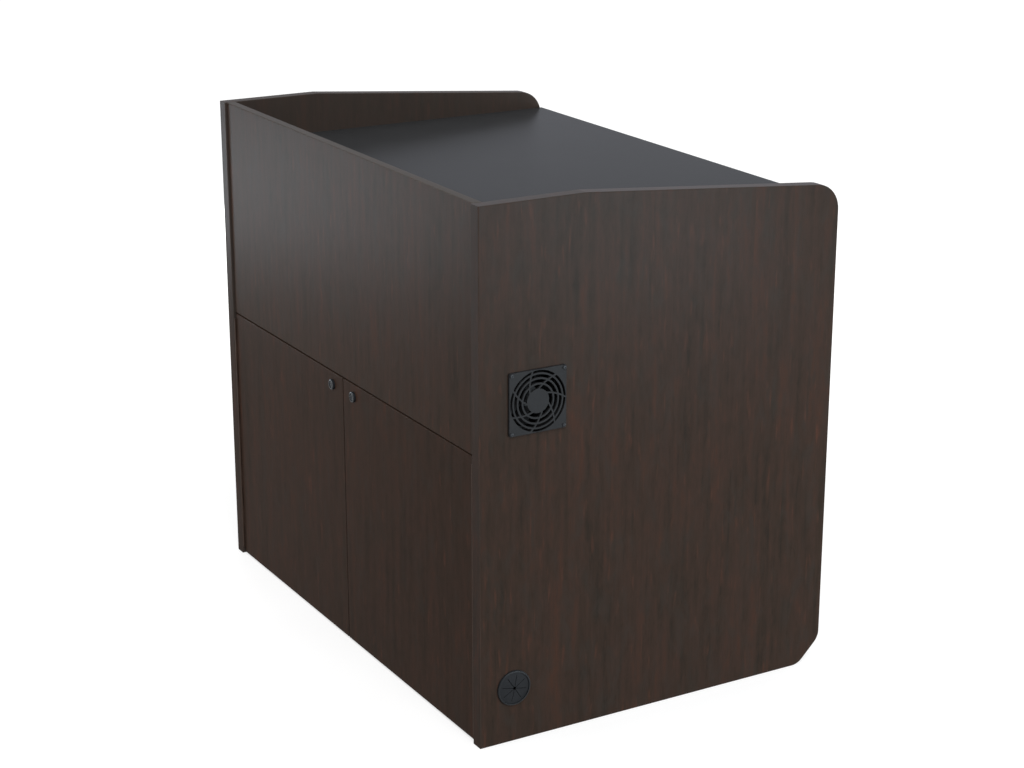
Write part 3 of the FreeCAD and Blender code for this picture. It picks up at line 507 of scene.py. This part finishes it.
# Screw heads with a cross recess

CROSS_CORNERS = 12
HEAD_SIDES = 2 * CROSS_CORNERS
SHARP_ANGLE_DEG = 40
# Rings of a head, from its seat up: share of the radius, share of the height
PAN_RINGS = [(1.0, -0.08), (1.0, 0.40), (0.96, 0.62), (0.86, 0.82), (0.70, 0.94), (0.52, 1.0)]
FLAT_RINGS = [(1.0, -0.6), (1.0, 0.6), (0.94, 1.0), (0.62, 1.0)]
# Recess, in shares of the head's radius, and its floor's size as a share of its mouth
CROSS_REACH = 0.46
CROSS_HALF_W = 0.115
CROSS_DEPTH = 0.34
CROSS_TAPER = 0.7
# Four arms and the middle of the recess floor, by their corners
CROSS_FLOOR = ((0, 1, 10, 11), (1, 2, 3, 4), (4, 5, 6, 7), (7, 8, 9, 10), (1, 4, 7, 10))


def cross_outline():
    """Corners of the recess in a head of radius 1."""
    quarter = [(CROSS_REACH, CROSS_HALF_W), (CROSS_HALF_W, CROSS_HALF_W), (CROSS_HALF_W, CROSS_REACH)]
    corners = []
    for _ in range(4):
        corners += quarter
        quarter = [(-b, a) for a, b in quarter]
    return corners


def head_outline():
    """Circle of radius 1, its first point in line with the recess's first corner."""
    first = math.atan2(CROSS_HALF_W, CROSS_REACH)
    turns = [first + i * 2 * math.pi / HEAD_SIDES for i in range(HEAD_SIDES)]
    return [(math.cos(turn), math.sin(turn)) for turn in turns]


def screw_head(shape, at, out, radius, height, rings):
    """One closed head on the point at, its recess sunk along out."""
    out = Vector(out)
    u = out.orthogonal().normalized()
    v = out.cross(u)

    def ring(outline, size, level):
        middle = Vector(at) + out * level
        return [shape.verts.new(middle + u * (size * a) + v * (size * b)) for a, b in outline]

    round_head, cross = head_outline(), cross_outline()
    loops = [ring(round_head, radius * share, height * level) for share, level in rings]
    for low, high in zip(loops, loops[1:]):
        for i in range(HEAD_SIDES):
            j = (i + 1) % HEAD_SIDES
            shape.faces.new((low[i], low[j], high[j], high[i]))
    shape.faces.new(list(reversed(loops[0])))
    mouth = ring(cross, radius, height)
    bottom = ring(cross, radius * CROSS_TAPER, height - radius * CROSS_DEPTH)
    top = loops[-1]
    for i in range(CROSS_CORNERS):
        j = (i + 1) % CROSS_CORNERS
        a, b, c = top[2 * i], top[2 * i + 1], top[2 * j]
        shape.faces.new((a, b, mouth[i]))
        shape.faces.new((b, c, mouth[j], mouth[i]))
        shape.faces.new((mouth[i], mouth[j], bottom[j], bottom[i]))
    for corners in CROSS_FLOOR:
        shape.faces.new([bottom[i] for i in corners])


def add_screws(name, body, material, places, radius, height, rings):
    """One piece with a head at each place, given as a point and the axis that the head faces."""
    shape = bmesh.new()
    for at, out in places:
        screw_head(shape, at, out, radius, height, rings)
    bmesh.ops.recalc_face_normals(shape, faces=shape.faces)
    mesh = bpy.data.meshes.new(name)
    shape.to_mesh(mesh)
    shape.free()
    mesh.shade_smooth()
    mesh.set_sharp_from_angle(angle=math.radians(SHARP_ANGLE_DEG))
    mesh.materials.append(material)
    piece = bpy.data.objects.new(name, mesh)
    scene.collection.objects.link(piece)
    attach(piece, body)


# Places of the screws

SCREW_END = 30 * MM
LEAF_T = 1.0 * MM
LEAF_EDGE = 7.5 * MM
HINGE_SCREW_R = 3.0 * MM
HINGE_SCREW_H = 0.35 * MM
HINGE_SCREWS = {"left": 6, "right": 6, "rack": 8}
FIXING_R = 3.6 * MM
FIXING_H = 2.2 * MM
BRACKET_T = 2.5 * MM
BRACKET_YS = (-0.2, 0.2)
BRACKET_SCREW_STEP = 8 * MM
BRACKET_SCREW_OUT = 27 * MM
HANGER_T = 1.5 * MM
HANGER_SCREW_IN = 11 * MM
HANGER_SCREWS = 4
RAIL_T = 2.5 * MM
RAIL_SCREW_IN = 20 * MM
RAIL_SCREWS = 5
STRIKE_SCREW_IN = 11 * MM
STRIKE_XS = (-0.50, -0.34, -0.15, 0.15, 0.34, 0.50)
REAR_STRIKE_XS = (0.14, 0.31, 0.48)
FOOT_BRACKET_T = 3.0 * MM
FOOT_SCREW_Z = 41 * MM
FOOT_SCREW_STEP = 20 * MM
FOOT_YS = (-0.310, 0.250)
right_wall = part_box("side_panel_right")[0][0]


def spread(low, high, count):
    """Even steps between a part's two ends, each end left free."""
    first, last = low + SCREW_END, high - SCREW_END
    return [first + (last - first) * i / (count - 1) for i in range(count)]


def add_hinge_screws(door, material):
    """Flat heads on both leaves of one door's hinge."""
    fixed, moving = door + "_hinge_fixed_leaf", door + "_hinge_door_leaf"
    wall_side = -1 if door == "left" else 1
    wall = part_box("side_panel_left")[1][0] if wall_side < 0 else right_wall
    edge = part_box(door + "_door_panel")[0 if wall_side < 0 else 1][0]
    low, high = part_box(fixed)
    y = low[1] + LEAF_EDGE if door == "rack" else high[1] - LEAF_EDGE
    heights = spread(low[2], high[2], HINGE_SCREWS[door])
    leaves = ((fixed, "cabinet", wall - wall_side * LEAF_T, -wall_side),
              (moving, door + "_door", edge + wall_side * LEAF_T, wall_side))
    for leaf, body, x, out in leaves:
        places = [((x, y, z), (out, 0, 0)) for z in heights]
        add_screws(leaf + "_screws", body, material, places,
                   HINGE_SCREW_R, HINGE_SCREW_H, FLAT_RINGS)


def add_fixings(name, material, places):
    add_screws(name, "cabinet", material, places, FIXING_R, FIXING_H, PAN_RINGS)


def add_bracket_screws(material):
    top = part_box("worksurface_brackets")[1][2]
    places = []
    for side in SIDES:
        for middle in BRACKET_YS:
            for y in (middle - BRACKET_SCREW_STEP, middle + BRACKET_SCREW_STEP):
                upright = (side * (right_wall - BRACKET_T), y, top - BRACKET_SCREW_OUT)
                level = (side * (right_wall - BRACKET_SCREW_OUT), y, top - BRACKET_T)
                places += [(upright, (-side, 0, 0)), (level, (0, 0, -1))]
    add_fixings("bracket_screws", material, places)


def add_hanger_screws(material):
    low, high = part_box("tray_channels")
    add_fixings("tray_hanger_screws", material, [
        ((side * (high[0] - HANGER_SCREW_IN), y, high[2] - HANGER_T), (0, 0, -1))
        for side in SIDES
        for y in spread(low[1], high[1], HANGER_SCREWS)
    ])


def add_rail_screws(material):
    low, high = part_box("rack_rail_outer")
    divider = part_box("centre_divider")[1][0]
    add_fixings("rack_rail_screws", material, [
        ((x, high[1] - RAIL_SCREW_IN, z), (out, 0, 0))
        for x, out in ((right_wall - RAIL_T, -1), (divider + RAIL_T, 1))
        for z in spread(low[2], high[2], RAIL_SCREWS)
    ])


def add_strike_screws(material):
    back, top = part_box("front_strike_bar")[1][1:]
    places = [((x, back, top - STRIKE_SCREW_IN), (0, 1, 0)) for x in STRIKE_XS]
    low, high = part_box("rear_strike_bar")
    places += [((x, low[1], high[2] - STRIKE_SCREW_IN), (0, -1, 0)) for x in REAR_STRIKE_XS]
    add_fixings("strike_bar_screws", material, places)


def add_foot_screws(material):
    add_fixings("foot_bracket_screws", material, [
        ((side * (right_wall - FOOT_BRACKET_T), middle + step, FOOT_SCREW_Z), (-side, 0, 0))
        for side in SIDES
        for middle in FOOT_YS
        for step in (-FOOT_SCREW_STEP, FOOT_SCREW_STEP)
    ])


# Studio

add_camera()
add_world()
add_floor()
add_sun()
add_panels()

# Boards

dress(wood("wood_side_left", "Z", SIDE_PRINT, LEFT_GLOSS, LEFT_BANDS_LIGHT, shift=0.0, inner_sheen=True),
      "side_panel_left")
dress(wood("wood_side_right", "Z", SIDE_PRINT, SIDE_GLOSS, SIDE_BANDS_LIGHT, shift=3.1, bore_shade=True),
      "side_panel_right")
dress(wood("wood_upper_front", "Z", FRONT_PRINT, FRONT_GLOSS, FRONT_BANDS_LIGHT, shift=7.7), "upper_front_panel")
dress(wood("wood_left_door", "Z", FRONT_PRINT, FRONT_GLOSS, DOOR_BANDS_LIGHT, DOOR_SHADE, shift=11.9),
      "left_door_panel")
dress(wood("wood_right_door", "Z", FRONT_PRINT, FRONT_GLOSS, DOOR_BANDS_LIGHT, DOOR_SHADE, shift=17.3),
      "right_door_panel")
dress(wood("wood_rack_door", "Z", FRONT_PRINT, FRONT_GLOSS, shift=23.1), "rack_door_panel")
dress(wood("wood_level_boards", "X", SIDE_PRINT, SIDE_GLOSS, shift=29.0),
      "sub_top", "bottom_panel", "adjustable_shelf")
dress(wood("wood_rails", "X", SIDE_PRINT, SIDE_GLOSS, shift=31.3), "rear_rail", "toe_kick")
dress(wood("wood_upright", "Z", SIDE_PRINT, SIDE_GLOSS, shift=37.7), "centre_divider", "upper_panel_cleats")
dress(charcoal_laminate(), "worksurface", "keyboard_tray")
dress(moulded("edge_band", srgb(40, 40, 42), srgb(48, 48, 50), rough=0.45, level=0.2),
      "worksurface_edge_band")

# Fan and grommet

dress(moulded("guard_plastic", srgb(33, 33, 34), srgb(40, 40, 41), rough=0.5, level=0.065), "fan_guard")
dress(moulded("fan_plastic", srgb(15, 15, 16), srgb(21, 21, 22), rough=0.45, level=0.2),
      "fan_frame", "fan_rotor")
dress(moulded("screw_black", srgb(34, 36, 39), srgb(44, 46, 49), rough=0.3, level=0.2),
      "fan_guard_screws", "fan_screws")
dress(moulded("grommet_plastic", srgb(28, 30, 32), srgb(36, 38, 40), rough=0.36, level=0.13),
      "grommet_ring")
dress(moulded("rubber", srgb(27, 28, 30), srgb(35, 36, 38), rough=0.6, level=0.08, grain_scale=700.0),
      "grommet_membrane")

# Metal fittings

zinc = metal("zinc_plate", srgb(150, 152, 150), srgb(182, 184, 184), rough=0.38,
             lay=(1, 1, 0.05), lay_scale=900.0)
dress(zinc, "shelf_pins", "tray_runners", "worksurface_brackets", "foot_front_left", "foot_front_right",
      "foot_rear_left", "foot_rear_right", "foot_brackets")
dress(moulded("powder_coat", srgb(20, 20, 21), srgb(28, 28, 29), rough=0.5, level=0.2, grain_scale=1200.0),
      "rack_rail_inner", "rack_rail_outer", "tray_channels")
aluminium = metal("bar_aluminium", srgb(74, 74, 76), srgb(96, 96, 98), rough=0.42,
                  lay=(0.02, 1, 1), lay_scale=700.0)
dress(aluminium, "front_strike_bar", "rear_strike_bar")
dull_zinc = metal("dull_zinc", srgb(96, 97, 96), srgb(120, 121, 121), rough=0.6,
                  lay=(1, 1, 1), lay_scale=600.0)
nickel = moulded("black_nickel", srgb(30, 32, 35), srgb(40, 42, 45), rough=0.26, level=0.09,
                 grain_scale=500.0, relief=0.02 * MM)
bronze = moulded("bronze_coat", srgb(54, 43, 37), srgb(66, 53, 46), rough=0.5, level=0.05,
                 grain_scale=1200.0)
for door in DOORS:
    dress(nickel, door + "_lock_body", door + "_lock_plug")
    dress(dull_zinc, door + "_lock_nut", door + "_lock_cam", door + "_hinge_pin")
    dress(bronze, door + "_hinge_fixed_leaf", door + "_hinge_door_leaf")

# Screws

for door in DOORS:
    add_hinge_screws(door, bronze)
for add in (add_bracket_screws, add_hanger_screws, add_rail_screws, add_strike_screws, add_foot_screws):
    add(zinc)

scene.view_settings.view_transform = "Standard"
